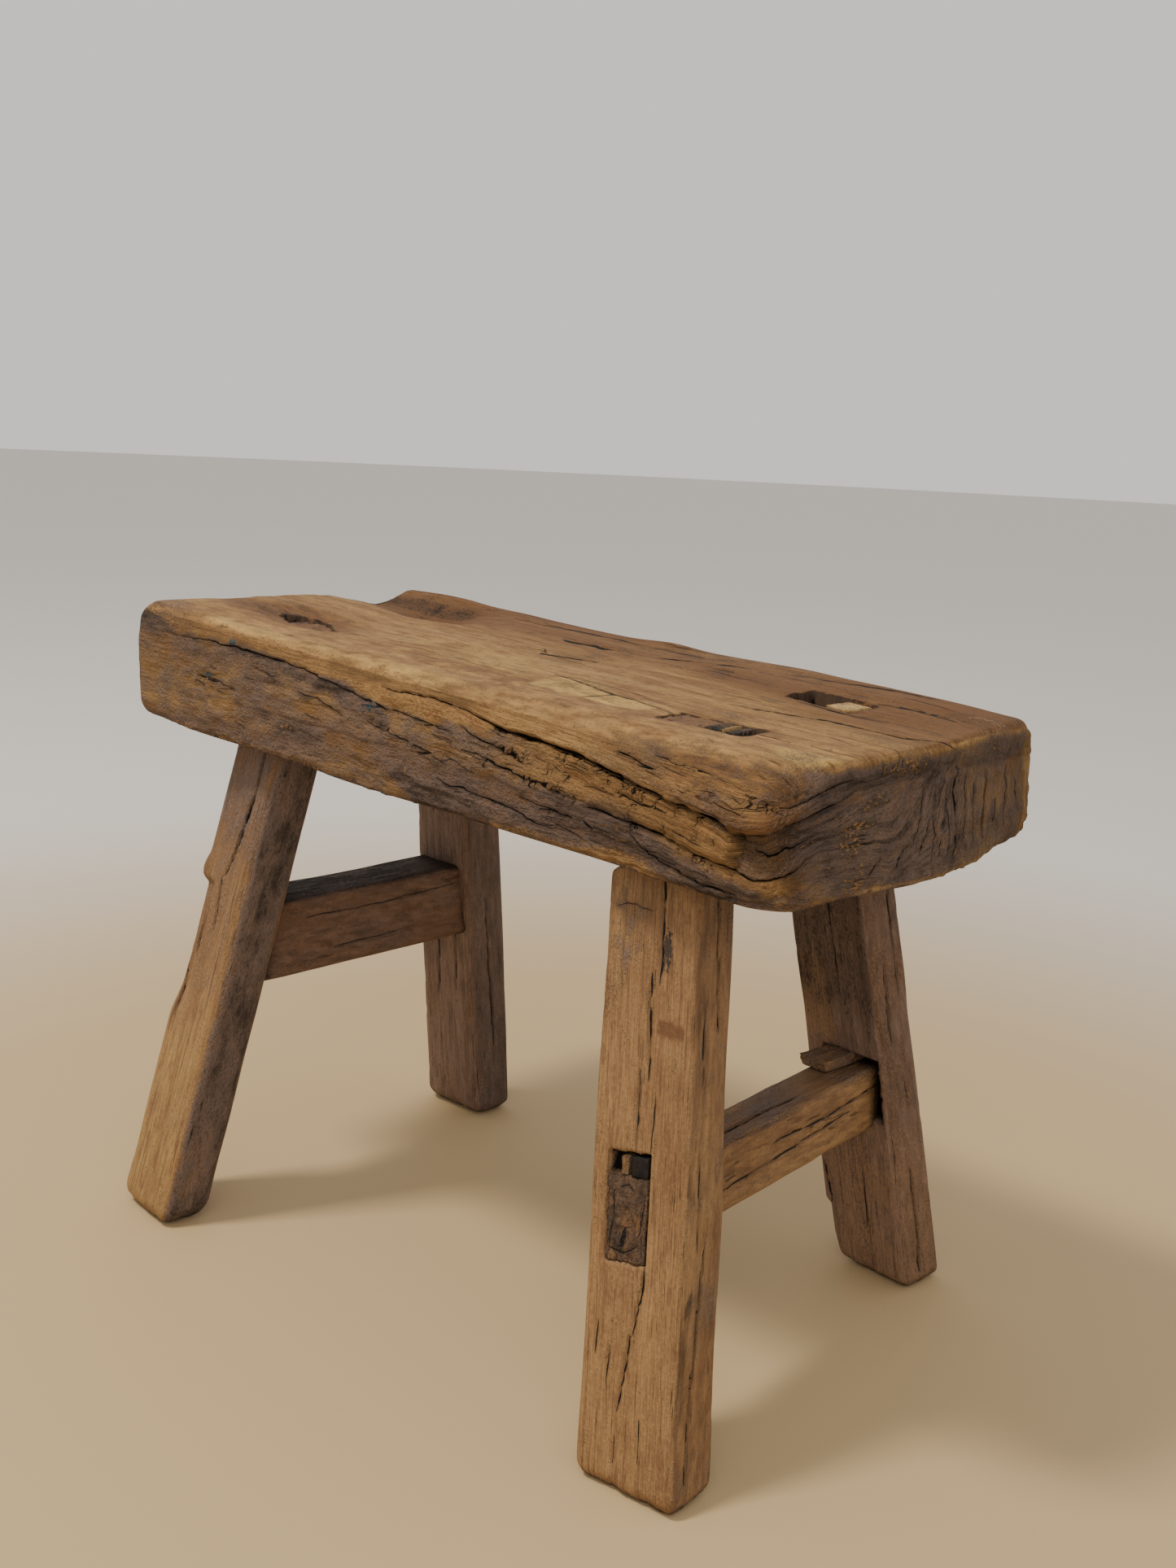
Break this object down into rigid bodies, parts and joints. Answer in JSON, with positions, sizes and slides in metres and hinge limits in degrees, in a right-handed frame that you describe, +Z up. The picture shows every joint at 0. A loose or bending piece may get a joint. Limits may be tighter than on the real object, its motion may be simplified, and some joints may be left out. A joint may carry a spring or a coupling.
{
  "type": "milking stool",
  "caption": "Small weathered elm milking stool: thick worn plank seat on splayed square legs, a stretcher at each end, wedged through tenons.",
  "frame": {"origin": "middle of the stool's footprint box, on the floor under the feet", "axes": "+X along the seat toward its lower right end, +Y to the rear long side, +Z up"},
  "size_m": [0.3376, 0.2106, 0.2459],
  "materials": {
    "seat_elm": "worn, waxed",
    "leg_elm": "weathered, waxed",
    "dark_elm": "weathered, dirty",
    "pale_wedge": "fresh cut",
    "black_wedge": "stained black"
  },
  "bodies": {
    "root": {"seat_plank": "seat_elm", "leg_front_left": "leg_elm", "leg_front_right": "leg_elm", "leg_rear_right": "dark_elm", "leg_rear_left": "dark_elm", "stretcher_left": "dark_elm", "stretcher_right": "leg_elm", "wedge_front_left": "dark_elm", "wedge_rear_left": "dark_elm", "wedge_rear_right": "pale_wedge", "wedge_front_right_inner": "black_wedge", "wedge_front_right_slip": "pale_wedge", "wedge_front_right_outer": "black_wedge", "key_front_right": "black_wedge", "key_slip_front_right": "pale_wedge", "shim_rear_right": "leg_elm"}
  },
  "joints": []
}
